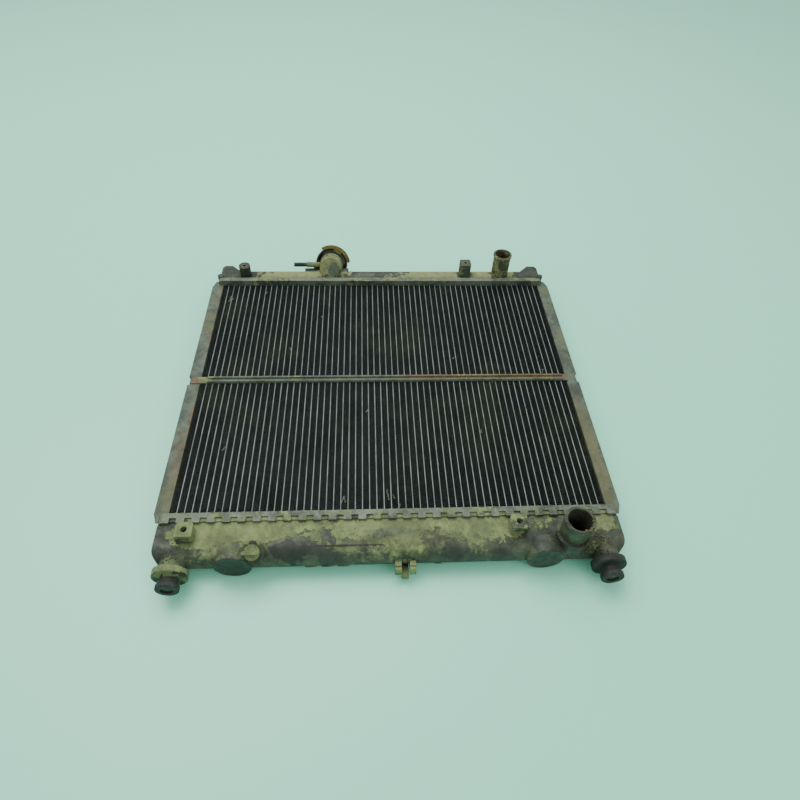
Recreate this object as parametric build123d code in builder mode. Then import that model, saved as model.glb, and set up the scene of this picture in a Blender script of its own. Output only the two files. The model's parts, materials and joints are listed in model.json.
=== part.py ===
"""Car radiator with an aluminium core, two moulded tanks, a filler neck with its cap and a drain cock.

The radiator lies flat with its engine side up. X runs across the core, Y runs from the lower tank to
the upper tank, and Z runs from the front of the car (the rest surface) to the engine. All sizes are in
millimetres. The pieces are modelled about the core's centre, and save() moves them to the row's frame.
"""

from build123d import *
import os
from math import cos, radians, sin

os.makedirs("parts", exist_ok=True)

# ---- core ---------------------------------------------------------------------------------------
TUBE_PITCH = 8.633
TUBE_COUNT = 59
TUBE_THICK = 2.0
TUBE_WALL = 0.35
CORE_DEPTH = 25.0
CORE_HALF_WIDTH = (TUBE_COUNT + 1) * TUBE_PITCH / 2
FIN_FOLD = 20.0
FIN_GAUGE = 0.38
FIN_GAP = 0.05

# ---- headers ------------------------------------------------------------------------------------
HEADER_DEPTH = 42.0
MID_Z = HEADER_DEPTH / 2
HEADER_LENGTH = 534.0
HEADER_GAUGE = 1.5
HEADER_CORNER = 6.0
LOWER_FACE = -215.0
UPPER_FACE = 213.5
LOWER_RIM = 12.5
UPPER_RIM = 8.5
LIP = 1.8
TAB_PITCH = 2 * TUBE_PITCH
TAB_GAP = 8.0
TAB_CUT = 6.0
GASKET_THICK = 1.5
GASKET_WIDTH = 4.5
TUBE_STICK_OUT = 3.0

# ---- tanks --------------------------------------------------------------------------------------
TANK_TOP = 38.5
TANK_BACK = 3.0
TANK_WALL = 3.0
FOOT_GAP = 0.2
LOWER_TANK_NOSE = -272.0
LOWER_TANK_LENGTH = 534.0
LOWER_TANK_CORNER = 14.0
LOWER_FOOT_GAP = 1.5
UPPER_FOOT_GAP = 1.0
UPPER_TANK_EDGE = 252.5
UPPER_TANK_LENGTH = 529.0
UPPER_TANK_ROUND = 14.0
UPPER_KNOB = (265.5, 228.5, 20.0)
UPPER_KNOB_R = 4.5
UPPER_KNOB_HEIGHT = 21.0
UPPER_PAD_LOW = (-130.0, UPPER_TANK_EDGE - 18.0, 8.0)
UPPER_PAD_HIGH = (-57.0, UPPER_TANK_EDGE + 8.5, 32.0)
UPPER_EAR_OUTLINE = ((268, 240), (268, 262), (264, 267), (252, 267), (235, 250), (235, 240))
UPPER_EAR_Z = (23.0, 32.0)
UPPER_BOSS_ROOT = 30.75
UPPER_BOSS_R = 9.0
UPPER_BOSS_WIDTH = 17.8
UPPER_BOSS_ROUND = 3.0
NOSE_R = (TANK_TOP - TANK_BACK) / 2
NOSE_Y = LOWER_TANK_NOSE + NOSE_R
NOSE_Z = (TANK_TOP + TANK_BACK) / 2

# ---- hose stubs ---------------------------------------------------------------------------------
UPPER_STUB = (197.5, 236.5)
UPPER_STUB_TOP = 79.0
UPPER_STUB_R = 13.75
UPPER_STUB_BORE = 11.75
UPPER_BEAD_R = 15.0
LOWER_STUB = (207.0, -253.0)
LOWER_STUB_TOP = 74.0
LOWER_STUB_R = 16.5
LOWER_STUB_BORE = 14.0
LOWER_BEAD_R = 17.6
LOWER_STUB_BASE_R = 20.0
LOWER_STUB_BASE_TOP = TANK_TOP + 7.0
BEAD_LAND = 3.0

# ---- shroud bosses ------------------------------------------------------------------------------
UPPER_BOSSES = {"left": (-225.0, 234.5, 56.5), "right": (138.0, 237.4, 61.0)}
LOWER_BOSSES = {"left": (-231.6, -242.7), "right": (144.4, -241.2)}
LOWER_BOSS_TOP = 54.0
LOWER_BOSS_SIZE = (19.0, 18.5)
LOWER_BOSS_ROOT = NOSE_Z + 8.0
LOWER_BOSS_ROUND = 4.0
LOWER_HOLE_DEPTH = 13.0
NUT_ROOM = 0.4
INSERT_R = 4.0
INSERT_LENGTH = 12.0
SCREW_CORE_R = 2.5
SCREW_PASS_R = 3.5
NUT_SIZE = 10.0
NUT_THICK = 5.0
NUT_FLOOR = 44.3
NUT_SLOT = 5.4

# ---- lower feet ---------------------------------------------------------------------------------
FOOT_X = 245.5
FOOT_Z = 24.0
FOOT_COLUMN_R = 14.0
FOOT_PIN_R = 7.0
BUSH_TOP = -278.0
BUSH_FLANGE_R = 19.75
BUSH_FLANGE_END = -286.0
BUSH_NECK_R = 10.5
BUSH_NECK_END = -294.0
BUSH_RING_R = 13.0
BUSH_END = -300.0
BUSH_ROUND = 1.2
PIN_END = -297.5

# ---- blind cooler bosses on the lower tank -------------------------------------------------------
BLIND_BOSSES = (-179.0, 173.7)
BLIND_R = 21.0
BLIND_WALL = 4.0
BLIND_FACE = -275.0

# Round moulding marks low on the lower tank's nose: X and radius, their way out, root and rise.
NOSE_MARKS = ((-93.5, 7.0), (-74.9, 7.0), (-56.6, 7.0), (51.7, 4.0))
NOSE_MARK_WAY = (0, -0.85, -0.53)
NOSE_MARK_ROOT = 2.5
NOSE_MARK_RISE = 0.7

# Pipe clip on the lower tank's nose: two prongs with hooked notches, and a tongue between them.
CLIP_PRONGS = ((1.7, 9.2), (18.6, 25.6))
CLIP_PRONG_END = -283.0
CLIP_PRONG_Z = (12.0, 24.0)
CLIP_NOTCH_Y = (-280.0, -278.0)
CLIP_NOTCH_Z = (22.5, 25.0)
CLIP_TONGUE_X = (9.6, 17.6)
CLIP_TONGUE_END = -285.0
CLIP_TONGUE_Z = (5.0, 9.5)
CLIP_ROOT = NOSE_Y - 8.0

# ---- drain cock ---------------------------------------------------------------------------------
DRAIN_X = -156.0
DRAIN_TILT = 60.0
DRAIN_SEAT_R = 13.0
DRAIN_SEAT = 21.0
DRAIN_SEAT_ROOT = 6.0
DRAIN_BORE_R = 4.3
DRAIN_SHANK_R = 4.0
DRAIN_SHANK = 15.0
DRAIN_SEAL_R = 1.2
DRAIN_HEAD_R = 8.75
DRAIN_HEAD = 3.5
DRAIN_WING = (20.0, 4.0, 9.0)
DRAIN_WING_ROUND = 1.9
DRAIN_SEAL_BORE = 0.3

# ---- filler neck and cap ------------------------------------------------------------------------
NECK_MOUTH = (-85.5, 271.6, 34.5)
NECK_TILT = 25.0
EAR_TURN = 63.0
NECK_R = 19.0
NECK_BORE = 15.5
NECK_SEAT = -20.0
NECK_LOWER_BORE = 11.0
BULB_R = 17.5
BULB_NEAR = -44.0
BULB_FAR = -14.0
BULB_WALL = 4.0
NECK_ROOT = 8.0
NECK_CHANNEL_Y = 239.0
NECK_CHANNEL_R = 7.0
NECK_CHANNEL_DEPTH = 8.0
NECK_CHANNEL_TOP = 50.0
NIPPLE_ROOT_R = 4.3
NIPPLE_STEP_X = -126.0
NIPPLE_BITE = 0.8
NIPPLE_PORT = 3.0
CAM_R = 23.0
CAM_THICK = 2.5
CAM_NOTCH = 17.0
CAM_NOTCH_R = 19.6
NIPPLE_AT = -12.0
NIPPLE_R = 3.5
NIPPLE_BORE = 2.0
NIPPLE_END_X = -148.0
CAP_R = 26.5
CAP_GAUGE = 1.2
CAP_TOP = 3.4
CAP_SKIRT_END = -5.5
EAR_R = 31.25
EAR_ARC = 118.0
CAP_ROOM = 2.0
CAP_DOME_R = 12.0
CAP_DOME_BORE = 10.5
CAP_DOME_RISE = 1.6
TAB_WIDTH = 14.0
TAB_INNER = 20.2
TAB_TOP = -3.1
BELL_R = 14.0
BELL_BORE = 13.2
BELL_END = -15.5
PLATE_R = 12.9
PLATE_TOP = -16.0
PLATE_END = -17.5
SEAL_END = -19.8
DISC_SPRING = 1.2
SPRING_END_GAP = 0.1
SPRING_TOP_GAP = 0.05
SPRING_R = 9.0
SPRING_WIRE = 0.9
SPRING_TURNS = 5
TOP_SEAL_R = 24.4
TOP_SEAL_START = 0.2
DISC_SPRING_R = 25.0
DISC_SPRING_BORE = 6.0
PRESSURE_SEAL_R = 13.0
PRESSURE_SEAL_BORE = 6.5

# Vacuum valve: its pin, the pin's way through the plate, and radius, start and end of its head and disc.
PIN_R = 1.2
PIN_PASS_R = 1.3
PIN_HEAD = (2.2, PLATE_TOP + 1.8, PLATE_TOP + 2.6)
VACUUM_DISC = (5.0, PLATE_END - 1.3, PLATE_END - 0.3)

# ---- side plates and straps -----------------------------------------------------------------------
PLATE_OUTER = 276.0
PLATE_GAUGE = 1.5
PLATE_STEP = 268.5
PLATE_FACE = 34.0
PLATE_REAR = 8.0
STRAP_WIDTH = 12.0
STRAP_ENDS = (-272.0, 261.0)
STRAP_RIDGES = (-249.0, 253.0)
STRAP_GAUGE = 1.0
STRAP_RISE = 3.4
STRAP_RIDGE_AT = 3.6
STRAP_RIDGE_FOOT = 4.4
STRAP_RIDGE_SLOPE = 70
HEADER_CLEARANCE = 0.3
PLATE_NOTCH = (-8.0, 7.0)
PLATE_NOTCH_DEPTH = 2.5
PLATE_TAPER_LOW = ((272.0, -222.5), (PLATE_OUTER, -211.0))
PLATE_TAPER_HIGH = ((PLATE_OUTER, 208.0), (271.5, 221.0))
PLATE_LIP = 5.0
PLATE_LIP_SPANS = ((-209.0, -9.0), (8.0, 206.0))

# The whole part's middle along Y, which save() moves to the row's origin.
TOP_REACH = NECK_MOUTH[1] + CAP_TOP * cos(radians(NECK_TILT)) + CAP_R * sin(radians(NECK_TILT))
FRAME_Y = -(TOP_REACH + BUSH_END) / 2


def save(piece, name):
    """Move a finished piece to the row's frame, name it and write it."""
    placed = piece.moved(Location((0, FRAME_Y, 0)))
    placed.label = name
    export_step(placed, f"parts/{name}.step")


def box_between(low, high, mode=Mode.ADD):
    """A box from its lowest corner to its highest."""
    centre = tuple((a + b) / 2 for a, b in zip(low, high))
    size = [b - a for a, b in zip(low, high)]
    with Locations(centre):
        Box(*size, mode=mode)


def end_plane(y, way):
    """A plane square to the tubes at y, facing the way of growth, with its origin in mid depth."""
    return Plane(origin=(0, y, MID_Z), x_dir=(1, 0, 0), z_dir=(0, way, 0))


def side_plane(x):
    """A plane square to X at x, whose own axes are the model's Y and Z."""
    return Plane.YZ.offset(x)


def up_plane(x, y, z):
    """A level plane with its origin at a point."""
    return Plane(origin=(x, y, z))


DRAIN_OUT = (0, -cos(radians(DRAIN_TILT)), sin(radians(DRAIN_TILT)))
NECK_OUT = (0, cos(radians(NECK_TILT)), -sin(radians(NECK_TILT)))
EAR_WAY = (
    cos(radians(EAR_TURN)),
    sin(radians(EAR_TURN)) * sin(radians(NECK_TILT)),
    sin(radians(EAR_TURN)) * cos(radians(NECK_TILT)),
)
DRAIN = Plane(origin=(DRAIN_X, NOSE_Y, NOSE_Z), x_dir=(1, 0, 0), z_dir=DRAIN_OUT)
NECK = Plane(origin=NECK_MOUTH, x_dir=EAR_WAY, z_dir=NECK_OUT)


# ---- core pieces --------------------------------------------------------------------------------
def tube_centres():
    """The X of every tube, left to right."""
    return [(i - (TUBE_COUNT - 1) / 2) * TUBE_PITCH for i in range(TUBE_COUNT)]


def make_tubes():
    """Flat coolant tubes with round edges, open at both ends."""
    start = LOWER_FACE - HEADER_GAUGE - TUBE_STICK_OUT
    end = UPPER_FACE + HEADER_GAUGE + TUBE_STICK_OUT
    with BuildPart() as tube:
        with BuildSketch(end_plane(start, 1)):
            SlotOverall(CORE_DEPTH, TUBE_THICK, rotation=90)
            SlotOverall(
                CORE_DEPTH - 2 * TUBE_WALL,
                TUBE_THICK - 2 * TUBE_WALL,
                rotation=90,
                mode=Mode.SUBTRACT,
            )
        extrude(amount=end - start)
    return Compound(children=[tube.part.moved(Location((x, 0, 0))) for x in tube_centres()])


def make_fins(columns):
    """Folded fin strips, one for each column between two tubes."""
    half = (TUBE_PITCH - TUBE_THICK) / 2 - FIN_GAP - FIN_GAUGE
    folds = 2 * int((UPPER_FACE - LOWER_FACE) / FIN_FOLD)
    start = (UPPER_FACE + LOWER_FACE - folds * FIN_FOLD / 2) / 2
    path = [((-half, half)[i % 2], start + i * FIN_FOLD / 2) for i in range(folds + 1)]
    with BuildPart() as strip:
        with BuildSketch(Plane.XY.offset(MID_Z - CORE_DEPTH / 2)):
            with BuildLine():
                Polyline(*path)
                offset(amount=FIN_GAUGE / 2, side=Side.BOTH)
            make_face()
        extrude(amount=CORE_DEPTH)
    places = [(i + 0.5) * TUBE_PITCH for i in columns]
    return Compound(children=[strip.part.moved(Location((x, 0, 0))) for x in places])


def make_header(face, way, rim, notched):
    """A pressed header plate with a slot for each tube and a rim crimped over the tank's foot."""
    length = HEADER_LENGTH
    gauge = HEADER_GAUGE
    with BuildPart() as header:
        with BuildSketch(end_plane(face, way)):
            RectangleRounded(length, HEADER_DEPTH, HEADER_CORNER)
        extrude(amount=rim)
        with BuildSketch(end_plane(face + way * gauge, way)):
            RectangleRounded(length - 2 * gauge, HEADER_DEPTH - 2 * gauge, HEADER_CORNER - gauge)
        extrude(amount=rim - 2 * gauge, mode=Mode.SUBTRACT)
        with BuildSketch(end_plane(face + way * (rim - gauge), way)):
            inset = 2 * (gauge + LIP)
            RectangleRounded(length - inset, HEADER_DEPTH - inset, HEADER_CORNER - gauge - LIP)
        extrude(amount=gauge, mode=Mode.SUBTRACT)
        with BuildSketch(end_plane(face, way)):
            with Locations([(x, 0) for x in tube_centres()]):
                SlotOverall(CORE_DEPTH, TUBE_THICK, rotation=90)
        extrude(amount=gauge, mode=Mode.SUBTRACT)
        if notched:
            count = int((length - 2 * HEADER_CORNER) / TAB_PITCH)
            middle = face + way * (rim - TAB_CUT / 2)
            with Locations((0, middle, MID_Z)):
                with GridLocations(TAB_PITCH, 0, count, 1):
                    Box(TAB_GAP, TAB_CUT, HEADER_DEPTH + 2, mode=Mode.SUBTRACT)
    return header.part


def make_gasket(face, way):
    """The rubber seal ring between a header plate and its tank's foot."""
    outer = HEADER_LENGTH - 2 * (HEADER_GAUGE + FOOT_GAP)
    depth = HEADER_DEPTH - 2 * (HEADER_GAUGE + FOOT_GAP)
    with BuildPart() as gasket:
        with BuildSketch(end_plane(face + way * HEADER_GAUGE, way)):
            RectangleRounded(outer, depth, HEADER_CORNER - HEADER_GAUGE - FOOT_GAP)
            Rectangle(outer - 2 * GASKET_WIDTH, depth - 2 * GASKET_WIDTH, mode=Mode.SUBTRACT)
        extrude(amount=GASKET_THICK)
    return gasket.part


def make_side_plate():
    """The right side plate: a channel along the last fin column, joggled round the headers' ends."""
    bottom = LOWER_FACE + HEADER_CLEARANCE
    top = UPPER_FACE - HEADER_CLEARANCE
    notch_x = PLATE_OUTER - PLATE_NOTCH_DEPTH
    outline = [
        (CORE_HALF_WIDTH, bottom),
        (PLATE_STEP, bottom),
        (PLATE_STEP, PLATE_TAPER_LOW[0][1]),
        *PLATE_TAPER_LOW,
        (PLATE_OUTER, PLATE_NOTCH[0]),
        (notch_x, PLATE_NOTCH[0]),
        (notch_x, PLATE_NOTCH[1]),
        (PLATE_OUTER, PLATE_NOTCH[1]),
        *PLATE_TAPER_HIGH,
        (PLATE_STEP, PLATE_TAPER_HIGH[1][1]),
        (PLATE_STEP, top),
        (CORE_HALF_WIDTH, top),
    ]
    lip = PLATE_OUTER - PLATE_GAUGE
    with BuildPart() as plate:
        for z in (PLATE_REAR, PLATE_FACE - PLATE_GAUGE):
            with BuildSketch(Plane.XY.offset(z)):
                with BuildLine():
                    Polyline(*outline, close=True)
                make_face()
            extrude(amount=PLATE_GAUGE)
        web_end = CORE_HALF_WIDTH + PLATE_GAUGE
        box_between((CORE_HALF_WIDTH, bottom, PLATE_REAR), (web_end, top, PLATE_FACE))
        for low, high in PLATE_LIP_SPANS:
            box_between((lip, low, PLATE_FACE - PLATE_LIP), (PLATE_OUTER, high, PLATE_FACE))
            box_between((lip, low, PLATE_REAR), (PLATE_OUTER, high, PLATE_REAR + PLATE_LIP))
    return plate.part


def make_strap():
    """The front strap across the core: a thin band with two pressed ridges and flat ends."""
    half = STRAP_WIDTH / 2
    base = PLATE_FACE
    with BuildPart() as strap:
        box_between((STRAP_ENDS[0], -half, base), (STRAP_ENDS[1], half, base + STRAP_GAUGE))
        for side in (-1, 1):
            with BuildSketch(side_plane(STRAP_RIDGES[0])):
                with Locations((side * STRAP_RIDGE_AT, base + (STRAP_GAUGE + STRAP_RISE) / 2)):
                    Trapezoid(STRAP_RIDGE_FOOT, STRAP_RISE - STRAP_GAUGE, STRAP_RIDGE_SLOPE)
            extrude(amount=STRAP_RIDGES[1] - STRAP_RIDGES[0])
    return strap.part


# ---- tanks --------------------------------------------------------------------------------------
def add_foot(face, way, rim):
    """The tank's foot under the header's lip, and the short throat through the lip."""
    start = face + way * (HEADER_GAUGE + GASKET_THICK)
    lip_under = face + way * (rim - HEADER_GAUGE)
    outer = HEADER_LENGTH - 2 * (HEADER_GAUGE + FOOT_GAP)
    depth = HEADER_DEPTH - 2 * (HEADER_GAUGE + FOOT_GAP)
    throat = HEADER_LENGTH - 2 * (HEADER_GAUGE + LIP + FOOT_GAP)
    with BuildSketch(end_plane(start, way)) as profile:
        RectangleRounded(outer, depth, HEADER_CORNER - HEADER_GAUGE - FOOT_GAP)
    extrude(profile.sketch, amount=abs(lip_under - start) - FOOT_GAP)
    with BuildSketch(end_plane(start, way)) as profile:
        RectangleRounded(
            throat, TANK_TOP - TANK_BACK - 2 * FOOT_GAP, HEADER_CORNER - HEADER_GAUGE - LIP
        )
    extrude(profile.sketch, amount=abs(lip_under - start) + HEADER_GAUGE + 3)


def add_shroud_nut_boss(x, y):
    """A lower shroud boss: a rounded block with a screw hole over a slot for a square nut."""
    width, depth = LOWER_BOSS_SIZE
    with BuildSketch(up_plane(x, y, LOWER_BOSS_ROOT)) as profile:
        RectangleRounded(width, depth, LOWER_BOSS_ROUND)
        with Locations((0, -depth / 4)):
            Rectangle(width, depth / 2)
    extrude(profile.sketch, amount=LOWER_BOSS_TOP - LOWER_BOSS_ROOT)


def cut_shroud_nut_boss(x, y):
    """The screw hole and the nut slot of a lower shroud boss."""
    depth = LOWER_BOSS_SIZE[1]
    with Locations((x, y, LOWER_BOSS_TOP)):
        below = (Align.CENTER, Align.CENTER, Align.MAX)
        Cylinder(SCREW_PASS_R, LOWER_HOLE_DEPTH, align=below, mode=Mode.SUBTRACT)
    half = NUT_SIZE / 2 + NUT_ROOM
    low = (x - half, y - depth / 2 - 1, NUT_FLOOR)
    high = (x + half, y + half, NUT_FLOOR + NUT_SLOT)
    box_between(low, high, mode=Mode.SUBTRACT)


def add_round_on(plane, radius, start, end, mode=Mode.ADD):
    """A cylinder about a plane's normal, between two heights."""
    with BuildSketch(plane.offset(start)) as profile:
        Circle(radius)
    extrude(profile.sketch, amount=end - start, mode=mode)


def add_d_section(shrink, half, mode=Mode.ADD):
    """A length of the lower tank's section: flat faces and a full round nose."""
    radius = NOSE_R - shrink
    foot = LOWER_FACE - LOWER_RIM - LOWER_FOOT_GAP
    with BuildSketch(side_plane(-half)) as profile:
        with BuildLine():
            Line((NOSE_Y, NOSE_Z + radius), (foot, NOSE_Z + radius))
            Line((foot, NOSE_Z + radius), (foot, NOSE_Z - radius))
            Line((foot, NOSE_Z - radius), (NOSE_Y, NOSE_Z - radius))
            ThreePointArc((NOSE_Y, NOSE_Z - radius), (NOSE_Y - radius, NOSE_Z), (NOSE_Y, NOSE_Z + radius))
        make_face()
    extrude(profile.sketch, amount=2 * half, mode=mode)


def make_lower_tank():
    """The lower tank with its hose stub, feet, shroud bosses, blind bosses, drain seat and clip."""
    half = LOWER_TANK_LENGTH / 2
    foot_start = LOWER_FACE - HEADER_GAUGE - GASKET_THICK
    foot_end = LOWER_FACE - LOWER_RIM - LOWER_FOOT_GAP
    with BuildPart() as body:
        add_d_section(0, half)
        with BuildSketch(Plane.XY):
            with Locations((0, (LOWER_TANK_NOSE + foot_end) / 2 + 10)):
                RectangleRounded(2 * half, foot_end - LOWER_TANK_NOSE + 20, LOWER_TANK_CORNER)
        extrude(amount=HEADER_DEPTH, mode=Mode.INTERSECT)
        add_foot(LOWER_FACE, -1, LOWER_RIM)
        for x, y in LOWER_BOSSES.values():
            add_shroud_nut_boss(x, y)
        for x in BLIND_BOSSES:
            plane = Plane(origin=(x, NOSE_Y, FOOT_Z), x_dir=(1, 0, 0), z_dir=(0, -1, 0))
            add_round_on(plane, BLIND_R, 0, NOSE_Y - BLIND_FACE)
        for x in (-FOOT_X, FOOT_X):
            plane = Plane(origin=(x, NOSE_Y, FOOT_Z), x_dir=(1, 0, 0), z_dir=(0, -1, 0))
            add_round_on(plane, FOOT_COLUMN_R, 0, NOSE_Y - BUSH_TOP)
            add_round_on(plane, FOOT_PIN_R, 0, NOSE_Y - PIN_END)
        add_round_on(DRAIN, DRAIN_SEAT_R, NOSE_R - DRAIN_SEAT_ROOT, DRAIN_SEAT)
        stub = up_plane(*LOWER_STUB, 0)
        add_round_on(stub, LOWER_STUB_BASE_R, NOSE_Z, LOWER_STUB_BASE_TOP)
        add_round_on(stub, LOWER_STUB_R, NOSE_Z, LOWER_STUB_TOP)
        add_round_on(stub, LOWER_BEAD_R, LOWER_STUB_TOP - BEAD_LAND - 1, LOWER_STUB_TOP - 1)
        add_clip()
        for x, radius in NOSE_MARKS:
            mark = Plane(origin=(x, NOSE_Y, NOSE_Z), x_dir=(1, 0, 0), z_dir=NOSE_MARK_WAY)
            add_round_on(mark, radius, NOSE_R - NOSE_MARK_ROOT, NOSE_R + NOSE_MARK_RISE)

        add_d_section(TANK_WALL, half - TANK_WALL, mode=Mode.SUBTRACT)
        throat = HEADER_LENGTH / 2 - HEADER_GAUGE - LIP - FOOT_GAP - TANK_WALL
        low = (-throat, foot_end - 1, TANK_BACK + TANK_WALL)
        high = (throat, foot_start + 1, TANK_TOP - TANK_WALL)
        box_between(low, high, mode=Mode.SUBTRACT)
        for x in BLIND_BOSSES:
            plane = Plane(origin=(x, NOSE_Y, FOOT_Z), x_dir=(1, 0, 0), z_dir=(0, -1, 0))
            end = NOSE_Y - BLIND_FACE - BLIND_WALL
            add_round_on(plane, BLIND_R - BLIND_WALL, BLIND_WALL, end, mode=Mode.SUBTRACT)
        add_round_on(stub, LOWER_STUB_BORE, NOSE_Z + 4, LOWER_STUB_TOP + 1, mode=Mode.SUBTRACT)
        add_round_on(DRAIN, DRAIN_BORE_R, 0, DRAIN_SEAT + 1, mode=Mode.SUBTRACT)
        for x, y in LOWER_BOSSES.values():
            cut_shroud_nut_boss(x, y)
    return body.part


def add_clip():
    """The two prongs and the tongue of the pipe clip moulded on the lower tank's nose."""
    for low_x, high_x in CLIP_PRONGS:
        box_between((low_x, CLIP_PRONG_END, CLIP_PRONG_Z[0]), (high_x, CLIP_ROOT, CLIP_PRONG_Z[1]))
        notch_low = (low_x - 1, CLIP_NOTCH_Y[0], CLIP_NOTCH_Z[0])
        notch_high = (high_x + 1, CLIP_NOTCH_Y[1], CLIP_NOTCH_Z[1])
        box_between(notch_low, notch_high, mode=Mode.SUBTRACT)
    tongue_low = (CLIP_TONGUE_X[0], CLIP_TONGUE_END, CLIP_TONGUE_Z[0])
    box_between(tongue_low, (CLIP_TONGUE_X[1], CLIP_ROOT, CLIP_TONGUE_Z[1]))


def make_upper_tank():
    """The upper tank with its hose stub, shroud bosses, end ears, pad, filler neck and nipple root."""
    half = UPPER_TANK_LENGTH / 2
    foot_start = UPPER_FACE + HEADER_GAUGE + GASKET_THICK
    foot_end = UPPER_FACE + UPPER_RIM + UPPER_FOOT_GAP
    reach = UPPER_TANK_EDGE - foot_end
    with BuildPart() as body:
        with BuildSketch(side_plane(-half)):
            with Locations((foot_end + reach / 2, NOSE_Z)):
                Rectangle(reach, TANK_TOP - TANK_BACK)
            corners = vertices().group_by(Axis.Y)[-1]
            fillet(corners, UPPER_TANK_ROUND)
        extrude(amount=2 * half)
        add_foot(UPPER_FACE, 1, UPPER_RIM)
        for side in (-1, 1):
            add_ear(side)
            with Locations((side * UPPER_KNOB[0], *UPPER_KNOB[1:])):
                Cylinder(UPPER_KNOB_R, UPPER_KNOB_HEIGHT, align=(Align.CENTER, Align.CENTER, Align.MIN))
        box_between(UPPER_PAD_LOW, UPPER_PAD_HIGH)
        add_round_on(NECK, EAR_R + CAP_ROOM, CAP_SKIRT_END - CAP_ROOM, CAP_R, mode=Mode.SUBTRACT)
        x, y, top = UPPER_BOSSES["left"]
        add_round_on(up_plane(x, y, 0), UPPER_BOSS_R, UPPER_BOSS_ROOT, top)
        x, y, top = UPPER_BOSSES["right"]
        with BuildSketch(up_plane(x, y, UPPER_BOSS_ROOT)):
            RectangleRounded(UPPER_BOSS_WIDTH, UPPER_BOSS_WIDTH, UPPER_BOSS_ROUND)
        extrude(amount=top - UPPER_BOSS_ROOT)
        stub = up_plane(*UPPER_STUB, 0)
        add_round_on(stub, UPPER_STUB_R, NOSE_Z + 4, UPPER_STUB_TOP)
        add_round_on(stub, UPPER_BEAD_R, UPPER_STUB_TOP - BEAD_LAND - 1, UPPER_STUB_TOP - 1)
        add_round_on(NECK, BULB_R, BULB_NEAR, BULB_FAR)
        add_round_on(NECK, NECK_R, BULB_FAR - NECK_ROOT, 0)
        add_round_on(NECK, CAM_R, -CAM_THICK, 0)

        inner = half - TANK_WALL
        with BuildSketch(side_plane(-inner)):
            low_y = foot_start - 1
            high_y = UPPER_TANK_EDGE - TANK_WALL
            with Locations(((low_y + high_y) / 2, NOSE_Z)):
                Rectangle(high_y - low_y, TANK_TOP - TANK_BACK - 2 * TANK_WALL)
            corners = vertices().group_by(Axis.Y)[-1]
            fillet(corners, UPPER_TANK_ROUND - TANK_WALL)
        extrude(amount=2 * inner, mode=Mode.SUBTRACT)
        add_round_on(stub, UPPER_STUB_BORE, NOSE_Z + 6, UPPER_STUB_TOP + 1, mode=Mode.SUBTRACT)
        for x, y, top in UPPER_BOSSES.values():
            add_round_on(up_plane(x, y, 0), INSERT_R, top - INSERT_LENGTH - 1, top + 1, mode=Mode.SUBTRACT)
        cut_neck()
    return body.part


def add_ear(side):
    """A flat triangular ear at an end of the upper tank."""
    with BuildSketch(Plane.XY.offset(UPPER_EAR_Z[0])) as profile:
        with BuildLine():
            Polyline(*[(side * x, y) for x, y in UPPER_EAR_OUTLINE], close=True)
        make_face()
    extrude(profile.sketch, amount=UPPER_EAR_Z[1] - UPPER_EAR_Z[0])


def cut_neck():
    """The filler neck's bores, the way into the tank, the overflow hole and the cap's two entry notches."""
    add_round_on(NECK, NECK_BORE, NECK_SEAT, 1, mode=Mode.SUBTRACT)
    add_round_on(NECK, NECK_LOWER_BORE, BULB_NEAR + BULB_WALL, NECK_SEAT, mode=Mode.SUBTRACT)
    into_tank = up_plane(NECK_MOUTH[0], NECK_CHANNEL_Y, 0)
    bottom = TANK_TOP - NECK_CHANNEL_DEPTH
    add_round_on(into_tank, NECK_CHANNEL_R, bottom, NECK_CHANNEL_TOP, mode=Mode.SUBTRACT)
    port = Plane(origin=NECK.from_local_coords(Vector(0, 0, NIPPLE_AT)), x_dir=(0, 1, 0), z_dir=(-1, 0, 0))
    add_round_on(port, NIPPLE_R, NECK_BORE - NIPPLE_PORT, NECK_R + 1, mode=Mode.SUBTRACT)
    for side in (-1, 1):
        with BuildSketch(NECK.offset(-CAM_THICK)) as profile:
            with Locations((0, side * (CAM_NOTCH_R + 5))):
                Rectangle(CAM_NOTCH, 10)
        extrude(profile.sketch, amount=CAM_THICK + 1, mode=Mode.SUBTRACT)


# ---- small fixed pieces ---------------------------------------------------------------------------
def make_nipple():
    """The overflow nipple, a tube let into the side of the filler neck."""
    root = NECK.from_local_coords(Vector(0, 0, NIPPLE_AT))
    plane = Plane(origin=root, x_dir=(0, 1, 0), z_dir=(-1, 0, 0))
    reach = NECK_MOUTH[0] - NIPPLE_END_X
    with BuildPart() as nipple:
        add_round_on(plane, NIPPLE_R, NECK_BORE + NIPPLE_BITE, reach)
        add_round_on(plane, NIPPLE_ROOT_R, NECK_R + 0.4, NECK_MOUTH[0] - NIPPLE_STEP_X)
        add_round_on(plane, NIPPLE_BORE, NECK_BORE - 1, reach + 1, mode=Mode.SUBTRACT)
    return nipple.part


def make_bush(side):
    """A lower mounting bush: cushion flange, neck and end ring on the tank's pin."""
    plane = Plane(origin=(side * FOOT_X, BUSH_TOP, FOOT_Z), x_dir=(1, 0, 0), z_dir=(0, -1, 0))
    with BuildPart() as bush:
        add_round_on(plane, BUSH_FLANGE_R, 0, BUSH_TOP - BUSH_FLANGE_END)
        add_round_on(plane, BUSH_NECK_R, 0, BUSH_TOP - BUSH_END)
        add_round_on(plane, BUSH_RING_R, BUSH_TOP - BUSH_NECK_END, BUSH_TOP - BUSH_END)
        rims = bush.edges().filter_by(GeomType.CIRCLE)
        fillet([e for e in rims if e.radius in (BUSH_FLANGE_R, BUSH_RING_R)], BUSH_ROUND)
        add_round_on(plane, FOOT_PIN_R, -1, BUSH_TOP - BUSH_END + 1, mode=Mode.SUBTRACT)
    return bush.part


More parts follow.
